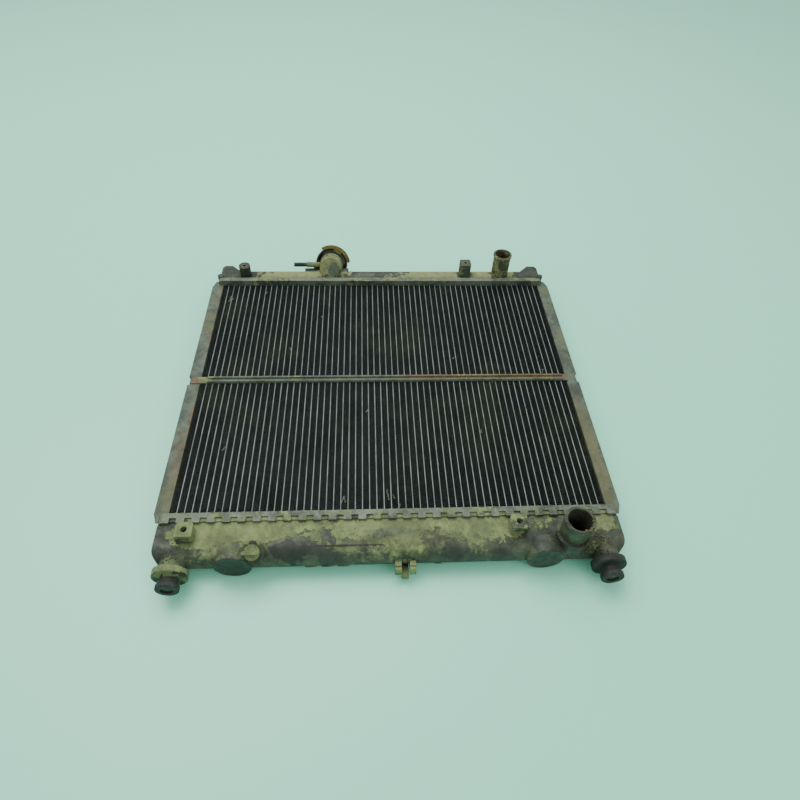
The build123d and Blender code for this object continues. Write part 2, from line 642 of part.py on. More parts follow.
def make_nuts():
    """The two square nuts held in the lower shroud bosses."""
    with BuildPart() as nuts:
        for x, y in LOWER_BOSSES.values():
            with BuildSketch(up_plane(x, y, NUT_FLOOR)):
                Rectangle(NUT_SIZE, NUT_SIZE)
                Circle(SCREW_CORE_R, mode=Mode.SUBTRACT)
            extrude(amount=NUT_THICK)
    return nuts.part


def make_inserts():
    """The two threaded brass inserts in the upper shroud bosses."""
    with BuildPart() as inserts:
        for x, y, top in UPPER_BOSSES.values():
            with BuildSketch(up_plane(x, y, top - INSERT_LENGTH)):
                Circle(INSERT_R)
                Circle(SCREW_CORE_R, mode=Mode.SUBTRACT)
            extrude(amount=INSERT_LENGTH)
    return inserts.part


# ---- drain cock ---------------------------------------------------------------------------------
def make_drain_plug():
    """The drain screw: shank, round head and a wing to turn it by hand."""
    head = DRAIN_SEAT + 2 * DRAIN_SEAL_R + 0.1
    with BuildPart() as plug:
        add_round_on(DRAIN, DRAIN_SHANK_R, head - DRAIN_SHANK, head + 1)
        add_round_on(DRAIN, DRAIN_HEAD_R, head, head + DRAIN_HEAD)
        with BuildSketch(DRAIN.offset(head + DRAIN_HEAD)):
            RectangleRounded(DRAIN_WING[0], DRAIN_WING[1], DRAIN_WING_ROUND)
        extrude(amount=DRAIN_WING[2])
    return plug.part


def make_drain_seal():
    """The rubber ring under the drain screw's head."""
    centre = DRAIN.offset(DRAIN_SEAT + DRAIN_SEAL_R + 0.05)
    section = Plane(origin=centre.origin, x_dir=(1, 0, 0), z_dir=centre.x_dir.cross(centre.z_dir))
    with BuildPart() as seal:
        with BuildSketch(section):
            with Locations((DRAIN_SHANK_R + DRAIN_SEAL_R + DRAIN_SEAL_BORE, 0)):
                Circle(DRAIN_SEAL_R)
        revolve(axis=Axis(centre.origin, centre.z_dir))
    return seal.part


# ---- cap ----------------------------------------------------------------------------------------
def ring(outer, inner, start, end):
    """A flat ring about the neck's axis."""
    with BuildSketch(NECK.offset(start)) as profile:
        Circle(outer)
        Circle(inner, mode=Mode.SUBTRACT)
    extrude(profile.sketch, amount=end - start)


def make_cap_shell():
    """The cap's shell: top disc, skirt, two ears to turn it by, and two locking tabs."""
    with BuildPart() as shell:
        add_round_on(NECK, CAP_R, CAP_SKIRT_END, CAP_TOP)
        add_round_on(NECK, CAP_R - CAP_GAUGE, CAP_SKIRT_END - 1, CAP_TOP - CAP_GAUGE, mode=Mode.SUBTRACT)
        for turn in (0, 180):
            add_ear_sector(turn)
            with BuildSketch(NECK.offset(TAB_TOP - CAP_GAUGE)):
                tab_end = CAP_R - CAP_GAUGE / 3
                with PolarLocations((TAB_INNER + tab_end) / 2, 1, start_angle=turn):
                    Rectangle(tab_end - TAB_INNER, TAB_WIDTH)
            extrude(amount=CAP_GAUGE)
        dome_floor = CAP_TOP - CAP_GAUGE
        add_round_on(NECK, CAP_DOME_R, dome_floor, CAP_TOP + CAP_DOME_RISE)
        dome_roof = CAP_TOP + CAP_DOME_RISE - CAP_GAUGE
        add_round_on(NECK, CAP_DOME_BORE, dome_floor - 0.2, dome_roof, mode=Mode.SUBTRACT)
    return shell.part


def add_ear_sector(turn):
    """One of the cap's ears: a sector of a ring, as wide as the hand's grip."""
    start = radians(turn - EAR_ARC / 2)
    end = radians(turn + EAR_ARC / 2)
    mid = radians(turn)
    inner = CAP_R - CAP_GAUGE / 2
    points = {}
    for name, radius in (("in", inner), ("out", EAR_R)):
        points[name] = [(radius * cos(a), radius * sin(a)) for a in (start, mid, end)]
    with BuildSketch(NECK.offset(CAP_SKIRT_END)) as profile:
        with BuildLine():
            ThreePointArc(*points["in"])
            Line(points["in"][2], points["out"][2])
            ThreePointArc(*points["out"])
            Line(points["out"][0], points["in"][0])
        make_face()
    extrude(profile.sketch, amount=CAP_GAUGE)


def make_cap_spring():
    """The cap's pressure spring."""
    bottom = PLATE_TOP + SPRING_WIRE + SPRING_END_GAP
    top = DISC_SPRING - SPRING_WIRE - SPRING_TOP_GAP
    pitch = (top - bottom) / SPRING_TURNS
    start = NECK.offset(bottom)
    with BuildPart() as spring:
        with BuildLine():
            coil = Helix(pitch, top - bottom, SPRING_R, center=start.origin, direction=start.z_dir)
        with BuildSketch(Plane(origin=coil @ 0, z_dir=coil % 0)):
            Circle(SPRING_WIRE)
        sweep()
    return spring.part


def make_pressure_valve():
    """The pressure valve's plate, with the hole its vacuum valve hangs in."""
    with BuildPart() as plate:
        ring(PLATE_R, PIN_PASS_R, PLATE_END, PLATE_TOP)
    return plate.part


def make_vacuum_valve():
    """The small vacuum valve that hangs from the pressure plate on its own pin."""
    with BuildPart() as valve:
        add_round_on(NECK, PIN_R, VACUUM_DISC[2] - 0.1, PIN_HEAD[2] - 0.2)
        for radius, start, end in (PIN_HEAD, VACUUM_DISC):
            add_round_on(NECK, radius, start, end)
    return valve.part


def make_ring(outer, inner, start, end):
    """A flat ring about the neck's axis, as a piece of its own."""
    with BuildPart() as piece:
        ring(outer, inner, start, end)
    return piece.part


# ---- build everything -----------------------------------------------------------------------------
save(make_tubes(), "coolant_tubes")
HALF_COLUMNS = (TUBE_COUNT + 1) // 2
save(make_fins(range(-HALF_COLUMNS, 0)), "fins_left")
save(make_fins(range(0, HALF_COLUMNS)), "fins_right")
save(make_header(LOWER_FACE, -1, LOWER_RIM, True), "lower_header")
save(make_header(UPPER_FACE, 1, UPPER_RIM, False), "upper_header")
save(make_gasket(LOWER_FACE, -1), "lower_gasket")
save(make_gasket(UPPER_FACE, 1), "upper_gasket")
right_plate = make_side_plate()
save(right_plate, "side_plate_right")
save(mirror(right_plate, about=Plane.YZ), "side_plate_left")
front_strap = make_strap()
save(front_strap, "strap_front")
save(mirror(front_strap, about=Plane.XY.offset(MID_Z)), "strap_rear")
save(make_lower_tank(), "lower_tank")
save(make_upper_tank(), "upper_tank")
save(make_nipple(), "overflow_nipple")
save(make_bush(-1), "lower_bush_left")
save(make_bush(1), "lower_bush_right")
save(make_nuts(), "shroud_nuts")
save(make_inserts(), "shroud_inserts")
save(make_drain_plug(), "drain_plug")
save(make_drain_seal(), "drain_seal")
save(make_cap_shell(), "cap_shell")
save(make_ring(TOP_SEAL_R, BELL_R + 0.2, TOP_SEAL_START, DISC_SPRING), "cap_top_seal")
save(make_ring(DISC_SPRING_R, DISC_SPRING_BORE, DISC_SPRING, CAP_TOP - CAP_GAUGE), "cap_disc_spring")
save(make_ring(BELL_R, BELL_BORE, BELL_END, DISC_SPRING), "cap_bell")
save(make_cap_spring(), "cap_spring")
save(make_pressure_valve(), "pressure_valve")
save(make_ring(PRESSURE_SEAL_R, PRESSURE_SEAL_BORE, SEAL_END, PLATE_END), "pressure_seal")
save(make_vacuum_valve(), "vacuum_valve")
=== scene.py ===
"""Looks of the car radiator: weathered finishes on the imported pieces, real folded fins and fine details."""

import json
import math
import random

import bpy
import bmesh
from mathutils import Matrix, Vector


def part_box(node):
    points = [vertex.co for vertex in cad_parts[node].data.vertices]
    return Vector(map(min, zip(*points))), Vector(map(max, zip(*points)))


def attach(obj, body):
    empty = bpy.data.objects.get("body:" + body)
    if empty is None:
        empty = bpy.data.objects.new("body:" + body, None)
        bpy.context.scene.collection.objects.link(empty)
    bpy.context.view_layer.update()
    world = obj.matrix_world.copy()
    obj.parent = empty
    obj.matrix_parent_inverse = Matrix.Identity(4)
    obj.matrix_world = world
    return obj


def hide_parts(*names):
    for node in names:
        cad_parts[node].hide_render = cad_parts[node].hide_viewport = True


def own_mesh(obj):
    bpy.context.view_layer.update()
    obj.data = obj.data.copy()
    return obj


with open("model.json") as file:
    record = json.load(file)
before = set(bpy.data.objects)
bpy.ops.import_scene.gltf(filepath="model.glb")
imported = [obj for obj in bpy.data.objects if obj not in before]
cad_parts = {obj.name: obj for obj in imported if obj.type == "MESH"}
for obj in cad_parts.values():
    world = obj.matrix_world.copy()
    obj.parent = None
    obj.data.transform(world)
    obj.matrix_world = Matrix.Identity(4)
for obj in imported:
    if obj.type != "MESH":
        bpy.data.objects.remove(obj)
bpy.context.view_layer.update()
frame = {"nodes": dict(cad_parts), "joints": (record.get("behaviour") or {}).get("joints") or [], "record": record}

MM = 0.001
FULL_TURN = 6.28
NODES = frame["nodes"]

# ---- sizes, most of them read from the frame ------------------------------------------------------
TUBE_COUNT = 59
TUBE_THICK = 2.0 * MM
HEADER_GAP = 0.3 * MM
FIN_SINK = 0.15 * MM
TUBES_LOW, TUBES_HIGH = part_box("coolant_tubes")
TUBE_PITCH = (TUBES_HIGH.x - TUBES_LOW.x - TUBE_THICK) / (TUBE_COUNT - 1)
CORE_LOW_Z, CORE_HIGH_Z = TUBES_LOW.z, TUBES_HIGH.z
FIN_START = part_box("lower_header")[1].y + HEADER_GAP
FIN_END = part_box("upper_header")[0].y - HEADER_GAP
CORE_HALF = (TUBE_COUNT + 1) * TUBE_PITCH / 2
STRAP_LOW, STRAP_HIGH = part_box("strap_front")
CORE_MID_Y = (STRAP_LOW.y + STRAP_HIGH.y) / 2

# ---- colours -------------------------------------------------------------------------------------
NYLON = (0.034, 0.043, 0.029)
NYLON_WORN = (0.098, 0.110, 0.064)
MUD = (0.165, 0.195, 0.085)
MUD_PALE = (0.285, 0.335, 0.135)
MUD_TAN = (0.33, 0.31, 0.15)
CRUST = (0.05, 0.048, 0.028)
SOOT = (0.010, 0.0145, 0.0105)
STUB_BROWN = (0.040, 0.036, 0.020)
ALUMINIUM = (0.17, 0.20, 0.15)
ALUMINIUM_DARK = (0.045, 0.057, 0.045)
GREY_COAT = (0.12, 0.145, 0.105)
GREY_COAT_DARK = (0.05, 0.066, 0.055)
RUST = (0.21, 0.115, 0.03)
RUST_DARK = (0.09, 0.045, 0.02)
# Fin colours: near-black painted shade deep in the core (also on the tube flanks), a painted sheen nearer its
# face, and a painted highlight on the fins' front rims.
FIN_SHADE_BLACK = (0.004, 0.0048, 0.0052)
FIN_SHEEN = (0.008, 0.012, 0.013)
FIN_EDGE_HIGHLIGHT = (0.082, 0.108, 0.108)
RUBBER = (0.012, 0.0135, 0.012)
RUBBER_WORN = (0.03, 0.03, 0.028)
RUBBER_DUSTY = (0.035, 0.036, 0.028)
TUBE_BRIGHT = (0.26, 0.29, 0.27)
TUBE_DULL = (0.14, 0.16, 0.15)
SIDE_EARTH = (0.12, 0.125, 0.06)
SIDE_EARTH_PALE = (0.17, 0.165, 0.09)
NIPPLE_NYLON = (0.02, 0.021, 0.02)
ZINC = (0.3, 0.28, 0.23)
ZINC_DULL = (0.16, 0.13, 0.09)
INSERT_BRASS = (0.20, 0.18, 0.11)
INSERT_BRASS_DULL = (0.12, 0.11, 0.075)
CAP_YELLOW = (0.24, 0.18, 0.045)
CAP_YELLOW_DULL = (0.13, 0.10, 0.035)
STEEL = (0.5, 0.5, 0.48)
STEEL_DULL = (0.3, 0.3, 0.29)
VALVE_BRASS = (0.4, 0.3, 0.12)
VALVE_BRASS_DULL = (0.25, 0.18, 0.08)
CRUMB_PALE = (0.12, 0.125, 0.065)
FOIL_DULL = (0.12, 0.14, 0.12)
FOIL_BARE = (0.42, 0.47, 0.40)
FLOOR = (0.37, 0.93, 0.70)
ROOM_LIGHT = (0.83, 0.97, 0.92)


# ---- helpers for shapes ---------------------------------------------------------------------------
def choose_nothing():
    """Deselect everything, so that the next operator acts on new work alone."""
    bpy.ops.object.select_all(action="DESELECT")


def take(piece):
    """Make one piece the selected and active one."""
    choose_nothing()
    piece.select_set(True)
    bpy.context.view_layer.objects.active = piece


def settle(piece, name, material, body):
    """Name a finished piece, put its place in its mesh, give it its finish and let it ride."""
    take(piece)
    bpy.ops.object.transform_apply(location=True, rotation=True, scale=True)
    piece.name = name
    piece.data.name = name
    piece.data.materials.clear()
    piece.data.materials.append(material)
    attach(piece, body)
    return piece


def apply_all(piece):
    """Apply a piece's modifiers in order."""
    take(piece)
    for modifier in list(piece.modifiers):
        bpy.ops.object.modifier_apply(modifier=modifier.name)


# ---- helpers for materials ------------------------------------------------------------------------
def add(tree, kind, **values):
    """Add a node; settings are its properties, and names with a capital are its inputs."""
    node = tree.nodes.new(kind)
    for key, value in values.items():
        if key[0].isupper():
            node.inputs[key.replace("_", " ")].default_value = value
        else:
            setattr(node, key, value)
    return node


def wire(tree, source, target):
    """Join an output to an input."""
    tree.links.new(source, target)


def math_node(tree, operation, first, second=None, third=None, clamp=False):
    """A math node fed by sockets or plain numbers."""
    node = add(tree, "ShaderNodeMath", operation=operation, use_clamp=clamp)
    for index, value in enumerate((first, second, third)):
        if value is None:
            continue
        if isinstance(value, (int, float)):
            node.inputs[index].default_value = value
        else:
            wire(tree, value, node.inputs[index])
    return node.outputs[0]


def span(tree, value, low, high, start=0.0, end=1.0):
    """A smooth step between two values."""
    node = add(tree, "ShaderNodeMapRange", interpolation_type="SMOOTHSTEP")
    wire(tree, value, node.inputs[0])
    for index, number in ((1, low), (2, high), (3, start), (4, end)):
        if isinstance(number, (int, float)):
            node.inputs[index].default_value = number
        else:
            wire(tree, number, node.inputs[index])
    return node.outputs[0]


def blend_colours(tree, factor, first, second):
    """Mix two colours, each a socket or a plain colour."""
    node = add(tree, "ShaderNodeMix", data_type="RGBA")
    wire(tree, factor, node.inputs[0])
    for index, value in ((6, first), (7, second)):
        if isinstance(value, tuple):
            node.inputs[index].default_value = (*value, 1)
        else:
            wire(tree, value, node.inputs[index])
    return node.outputs[2]


def new_group(name, inputs, outputs):
    """A shader node group with named number inputs and outputs."""
    tree = bpy.data.node_groups.new(name, "ShaderNodeTree")
    for label, value in inputs.items():
        socket = tree.interface.new_socket(label, in_out="INPUT", socket_type="NodeSocketFloat")
        socket.default_value = value
    for label, kind in outputs.items():
        tree.interface.new_socket(label, in_out="OUTPUT", socket_type=kind)
    return tree, tree.nodes.new("NodeGroupInput"), tree.nodes.new("NodeGroupOutput")


def noise(tree, scale, detail=6.0, rough=0.6, vector=None, lift=0.0):
    """Noise over the object's own coordinates."""
    node = add(tree, "ShaderNodeTexNoise", Detail=detail, Roughness=rough, Distortion=lift)
    if isinstance(scale, (int, float)):
        node.inputs["Scale"].default_value = scale
    else:
        wire(tree, scale, node.inputs["Scale"])
    if vector is None:
        vector = add(tree, "ShaderNodeTexCoord").outputs["Object"]
    wire(tree, vector, node.inputs["Vector"])
    return node.outputs["Fac"]


# Mud shows where a sum of noises passes MUD_EDGE; the two swings are the shares of broad and fine noise.
MUD_EDGE = (0.38, 0.64)
MUD_BROAD_SWING = 2.0
MUD_FINE_SWING = 0.9
MUD_FINENESS = 9.0


def make_mud_group():
    """Dried mud that lies on upward faces and breaks up at its edges."""
    inputs = {"Scale": 18.0, "Cover": 0.25, "Upward": 0.25, "Bias": 0.0}
    outputs = {"Mask": "NodeSocketFloat", "Height": "NodeSocketFloat"}
    tree, given, result = new_group("dried_mud", inputs, outputs)
    broad = noise(tree, given.outputs["Scale"], 9.0, 0.66, lift=0.35)
    fine_scale = math_node(tree, "MULTIPLY", given.outputs["Scale"], MUD_FINENESS)
    fine = noise(tree, fine_scale, 7.0, 0.72)
    normal = add(tree, "ShaderNodeNewGeometry").outputs["Normal"]
    split = add(tree, "ShaderNodeSeparateXYZ")
    wire(tree, normal, split.inputs[0])
    value = math_node(tree, "MULTIPLY", split.outputs["Z"], given.outputs["Upward"])
    value = math_node(tree, "ADD", value, given.outputs["Cover"])
    value = math_node(tree, "ADD", value, given.outputs["Bias"])
    value = math_node(tree, "MULTIPLY_ADD", math_node(tree, "SUBTRACT", broad, 0.5), MUD_BROAD_SWING, value)
    value = math_node(tree, "MULTIPLY_ADD", math_node(tree, "SUBTRACT", fine, 0.5), MUD_FINE_SWING, value)
    mask = span(tree, value, *MUD_EDGE)
    wire(tree, mask, result.inputs["Mask"])
    height = math_node(tree, "MULTIPLY_ADD", fine, 0.8, 0.4)
    height = math_node(tree, "MULTIPLY", height, mask)
    wire(tree, height, result.inputs["Height"])
    return tree


# A patch fades between these shares of its half sizes, after noise has moved its edge.
PATCH_FADE = (1.12, 0.86)
PATCH_ROUGHNESS = 2.6


def make_patch_group():
    """A patch with a ragged edge, round a place in the object's own plan."""
    inputs = {"Middle X": 0.0, "Middle Y": 0.0, "Half X": 0.02, "Half Y": 0.02, "Ragged": 1.0}
    tree, given, result = new_group("ragged_patch", inputs, {"Mask": "NodeSocketFloat"})
    split = add(tree, "ShaderNodeSeparateXYZ")
    wire(tree, add(tree, "ShaderNodeTexCoord").outputs["Object"], split.inputs[0])
    spread = []
    for axis in ("X", "Y"):
        away = math_node(tree, "SUBTRACT", split.outputs[axis], given.outputs["Middle " + axis])
        away = math_node(tree, "DIVIDE", away, given.outputs["Half " + axis])
        spread.append(math_node(tree, "MULTIPLY", away, away))
    reach = math_node(tree, "SQRT", math_node(tree, "ADD", *spread))
    rough = math_node(tree, "SUBTRACT", noise(tree, 75.0, 8.0, 0.68, lift=0.4), 0.5)
    swing = math_node(tree, "MULTIPLY", given.outputs["Ragged"], PATCH_ROUGHNESS)
    reach = math_node(tree, "MULTIPLY_ADD", rough, swing, reach)
    wire(tree, span(tree, reach, *PATCH_FADE), result.inputs["Mask"])
    return tree


def make_grain_group():
    """Fine grain and small pits, as height and as a light and dark speckle."""
    outputs = {"Height": "NodeSocketFloat", "Speckle": "NodeSocketFloat"}
    tree, given, result = new_group("grain", {"Scale": 900.0}, outputs)
    fine = noise(tree, given.outputs["Scale"], 3.0, 0.7)
    broad_scale = math_node(tree, "MULTIPLY", given.outputs["Scale"], 0.12)
    broad = noise(tree, broad_scale, 5.0, 0.65)
    wire(tree, math_node(tree, "MULTIPLY_ADD", fine, 0.5, broad), result.inputs["Height"])
    mixed = math_node(tree, "MULTIPLY_ADD", fine, 0.6, math_node(tree, "MULTIPLY", broad, 0.6))
    wire(tree, span(tree, mixed, 0.42, 0.78), result.inputs["Speckle"])
    return tree


WEAR_EDGE = (0.02, 0.14)


def make_wear_group():
    """Worn edges, and a normal that rounds them."""
    inputs = {"Width": 0.0012, "Amount": 0.5}
    outputs = {"Mask": "NodeSocketFloat", "Normal": "NodeSocketVector"}
    tree, given, result = new_group("edge_wear", inputs, outputs)
    bevel = add(tree, "ShaderNodeBevel", samples=4)
    wire(tree, given.outputs["Width"], bevel.inputs["Radius"])
    flat = add(tree, "ShaderNodeNewGeometry").outputs["Normal"]
    dot = add(tree, "ShaderNodeVectorMath", operation="DOT_PRODUCT")
    wire(tree, bevel.outputs[0], dot.inputs[0])
    wire(tree, flat, dot.inputs[1])
    turn = math_node(tree, "SUBTRACT", 1.0, dot.outputs["Value"])
    broken = math_node(tree, "MULTIPLY", turn, noise(tree, 160.0, 5.0, 0.7))
    mask = span(tree, broken, *WEAR_EDGE)
    worn = math_node(tree, "MULTIPLY", mask, given.outputs["Amount"], clamp=True)
    wire(tree, worn, result.inputs["Mask"])
    wire(tree, bevel.outputs[0], result.inputs["Normal"])
    return tree


RUST_FADE_BELOW = 0.06
RUST_FADE_ABOVE = 0.08


def make_rust_group():
    """Rust in patches, with a dark and a bright tone."""
    outputs = {"Mask": "NodeSocketFloat", "Tone": "NodeSocketFloat"}
    tree, given, result = new_group("rust", {"Scale": 30.0, "Cover": 0.4}, outputs)
    broad = noise(tree, given.outputs["Scale"], 10.0, 0.72, lift=0.4)
    edge = math_node(tree, "SUBTRACT", 1.0, given.outputs["Cover"])
    low = math_node(tree, "SUBTRACT", edge, RUST_FADE_BELOW)
    high = math_node(tree, "ADD", edge, RUST_FADE_ABOVE)
    wire(tree, span(tree, broad, low, high), result.inputs["Mask"])
    tone_scale = math_node(tree, "MULTIPLY", given.outputs["Scale"], 5.0)
    wire(tree, noise(tree, tone_scale, 6.0, 0.7), result.inputs["Tone"])
    return tree


GROUPS = {
    "mud": make_mud_group(),
    "patch": make_patch_group(),
    "grain": make_grain_group(),
    "wear": make_wear_group(),
    "rust": make_rust_group(),
}


def place_group(tree, name, **values):
    """Place one of the shared effects in a material with its own values."""
    node = add(tree, "ShaderNodeGroup", node_tree=GROUPS[name])
    for key, value in values.items():
        node.inputs[key].default_value = value
    return node


def new_material(name):
    """A material with an empty Principled shader."""
    material = bpy.data.materials.new(name)
    material.use_nodes = True
    tree = material.node_tree
    shader = tree.nodes["Principled BSDF"]
    return material, tree, shader


def axis_value(tree, axis):
    """The object's own X, Y or Z at each point."""
    split = add(tree, "ShaderNodeSeparateXYZ")
    wire(tree, add(tree, "ShaderNodeTexCoord").outputs["Object"], split.inputs[0])
    return split.outputs[axis]


def bump(tree, shader, height, strength, distance, normal=None):
    """Feed a height to the shader's normal."""
    node = add(tree, "ShaderNodeBump", Strength=strength, Distance=distance)
    wire(tree, height, node.inputs["Height"])
    if normal is not None:
        wire(tree, normal, node.inputs["Normal"])
    wire(tree, node.outputs[0], shader.inputs["Normal"])


def patch_mask(tree, patch):
    """The mask of a patch given in millimetres from the core's middle: middle, half sizes, strength."""
    x, y, half_x, half_y, strength = patch[:5]
    middle = {"Middle X": x * MM, "Middle Y": y * MM + CORE_MID_Y}
    half = {"Half X": half_x * MM, "Half Y": half_y * MM}
    mask = place_group(tree, "patch", **middle, **half).outputs["Mask"]
    return math_node(tree, "MULTIPLY", mask, strength)


# Steps of the noises between two tones, and how strongly each layer covers, roughens and stands out.
TONE_EDGE = (0.42, 0.60)
EARTH_EDGE = (0.40, 0.62)
RUST_EDGE = (0.35, 0.65)
MUD_OPACITY = 0.95
MUD_ROUGHNESS = 0.85
RUST_HEIGHT = 0.5
GRAIN_HEIGHT = 0.25
RELIEF_DEPTH = 0.0012


def weathered(
    name, clean, worn, rough=(0.45, 0.8), metallic=0.0, mud=None, mud_colours=(MUD, MUD_PALE),
    mud_patches=(), stains=(), rust=None, rust_where=None, edge=0.0011, edge_amount=0.6,
    grain=900.0, relief=0.35, fleck=0.45, finish=None,
):
    """A finish of two tones with dried mud, rust where asked, worn edges and a fine grain."""
    material, tree, shader = new_material(name)
    speck = place_group(tree, "grain", Scale=grain)
    wear = place_group(tree, "wear", Width=edge, Amount=edge_amount)
    tone = span(tree, noise(tree, 30.0, 9.0, 0.7, lift=0.3), *TONE_EDGE)
    colour = blend_colours(tree, tone, clean, worn)
    light = tuple(min(1.0, c * 1.5 + 0.02) for c in worn)
    colour = blend_colours(tree, wear.outputs["Mask"], colour, light)
    roughness = math_node(tree, "MULTIPLY_ADD", speck.outputs["Speckle"], rough[1] - rough[0], rough[0])
    metal = None
    height = math_node(tree, "MULTIPLY", speck.outputs["Height"], GRAIN_HEIGHT)
    if rust:
        patches = place_group(tree, "rust", Scale=rust[0], Cover=rust[1])
        mask = patches.outputs["Mask"]
        if rust_where:
            mask = math_node(tree, "MULTIPLY", mask, rust_where(tree))
        rusty = blend_colours(tree, span(tree, patches.outputs["Tone"], *RUST_EDGE), RUST_DARK, RUST)
        colour = blend_colours(tree, mask, colour, rusty)
        height = math_node(tree, "MULTIPLY_ADD", mask, RUST_HEIGHT, height)
        if metallic:
            metal = math_node(tree, "MULTIPLY", math_node(tree, "SUBTRACT", 1.0, mask), metallic)
    if mud:
        coat = place_group(tree, "mud", Scale=mud[0], Cover=mud[1], Upward=mud[2])
        bias = None
        for patch in mud_patches:
            mask = patch_mask(tree, patch)
            bias = mask if bias is None else math_node(tree, "ADD", bias, mask)
        if bias is not None:
            wire(tree, bias, coat.inputs["Bias"])
        earth = blend_colours(tree, span(tree, noise(tree, 38.0, 9.0, 0.72), *EARTH_EDGE), *mud_colours)
        cover = math_node(tree, "MULTIPLY", coat.outputs["Mask"], MUD_OPACITY)
        colour = blend_colours(tree, cover, colour, earth)
        matt = math_node(tree, "MULTIPLY", coat.outputs["Mask"], MUD_ROUGHNESS)
        roughness = math_node(tree, "MAXIMUM", roughness, matt)
        height = math_node(tree, "ADD", height, coat.outputs["Height"])
        if metallic:
            bare = math_node(tree, "SUBTRACT", 1.0, coat.outputs["Mask"])
            metal = math_node(tree, "MULTIPLY", bare, metallic if metal is None else metal)
    for stain in stains:
        colour = blend_colours(tree, patch_mask(tree, stain), colour, stain[5])
    pits = math_node(tree, "MULTIPLY", speck.outputs["Speckle"], fleck)
    colour = blend_colours(tree, pits, colour, tuple(c * 0.4 for c in clean))
    if finish:
        colour = finish(tree, colour)
    wire(tree, colour, shader.inputs["Base Color"])
    wire(tree, roughness, shader.inputs["Roughness"])
    if metal is not None:
        wire(tree, metal, shader.inputs["Metallic"])
    else:
        shader.inputs["Metallic"].default_value = metallic
    bump(tree, shader, height, relief, RELIEF_DEPTH, wear.outputs["Normal"])
    return material


# ---- where the rust is ----------------------------------------------------------------------------
def rust_along_core(tree):
    """Rust follows the side plates' inner edges, where they meet the core."""
    x = math_node(tree, "ABSOLUTE", axis_value(tree, "X"))
    inner = span(tree, x, CORE_HALF + 5 * MM, CORE_HALF - 1 * MM)
    inner = math_node(tree, "MULTIPLY", inner, span(tree, noise(tree, 17.0, 4.0, 0.6), 0.5, 0.62))
    lower_left = patch_mask(tree, (-262, -130, 9, 60, 0.45))
    lower_right = patch_mask(tree, (262, -90, 12, 60, 0.3))
    return math_node(tree, "MAXIMUM", inner, math_node(tree, "MAXIMUM", lower_left, lower_right))


def rust_on_right(tree):
    """Rust covers the strap's right half, strongest on its upper ridge."""
    along = span(tree, axis_value(tree, "X"), -0.01, 0.05)
    ends = span(tree, axis_value(tree, "X"), -0.24, -0.265, 0.0, 0.8)
    across = span(tree, axis_value(tree, "Y"), CORE_MID_Y - 0.004, CORE_MID_Y + 0.003, 0.15, 1.0)
    return math_node(tree, "MAXIMUM", math_node(tree, "MULTIPLY", along, across), ends)


def tube_light_and_shade(tree, colour):
    """Painted light and shade on the tubes: they keep their colour where their round edge faces up and are painted
    near black on their flanks, by which way each face points.
    """
    split = add(tree, "ShaderNodeSeparateXYZ")
    wire(tree, add(tree, "ShaderNodeNewGeometry").outputs["Normal"], split.inputs[0])
    top = span(tree, split.outputs["Z"], 0.72, 0.93)
    return blend_colours(tree, top, tuple(c * 1.6 for c in FIN_SHADE_BLACK), colour)


# ---- finishes -------------------------------------------------------------------------------------
# Each patch is its middle X and Y from the core's middle and its half sizes in X and Y, in millimetres,
# and its strength. A mud patch below nought keeps mud away. A stain ends with its colour.
LOWER_MUD = (
    (-160, -232, 90, 22, 0.65), (-225, -240, 30, 18, 0.45), (-45, -238, 34, 14, 0.4),
    (104, -238, 48, 18, 0.65), (10, -232, 60, 10, 0.3), (240, -234, 18, 20, 0.8),
    (-20, -258, 60, 8, 0.12), (-179, -276, 26, 4, -0.6), (-118, -262, 24, 14, -0.8),
    (-262, -240, 6, 30, -0.4), (173, -276, 26, 7, -0.4), (60, -262, 80, 12, -0.1),
    (207, -253, 34, 30, -0.8), (245, -270, 26, 24, -0.6), (-246, -274, 26, 12, 0.15),
    (12, -279, 16, 8, 0.4),
)
LOWER_STAINS = (
    (-118, -262, 24, 10, 0.8, SOOT), (-179, -277, 28, 3.5, 0.85, SOOT),
    (174, -277, 26, 4, 0.6, SOOT), (222, -262, 26, 22, 0.8, CRUST),
    (-60, -258.6, 55, 1.1, 0.85, SOOT), (30, -252, 60, 9, 0.4, CRUST),
    (-262, -250, 6, 30, 0.3, SOOT), (60, -268, 60, 5, 0.4, SOOT), (-5, -243, 26, 5, 0.5, GREY_COAT),
)
UPPER_MUD = (
    (-150, 222, 66, 40, 0.6), (-85, 245, 30, 20, 0.5), (120, 222, 90, 40, 0.6),
    (-28, 230, 22, 20, -0.25), (-240, 235, 32, 40, -0.7), (252, 240, 26, 40, -0.5),
    (197, 240, 26, 18, 0.35),
)
UPPER_STAINS = (
    (-240, 236, 30, 40, 0.7, SOOT), (256, 240, 22, 40, 0.55, SOOT),
    (-28, 226, 20, 14, 0.5, GREY_COAT), (197.5, 236.5, 14, 14, 0.85, STUB_BROWN),
    (138, 237.4, 13, 13, 0.9, GREY_COAT_DARK), (-122, 257, 16, 6, 0.9, GREY_COAT_DARK),
    (-52, 257, 16, 6, 0.7, GREY_COAT_DARK), (-80, 231, 10, 4.5, 0.95, GREY_COAT),
)

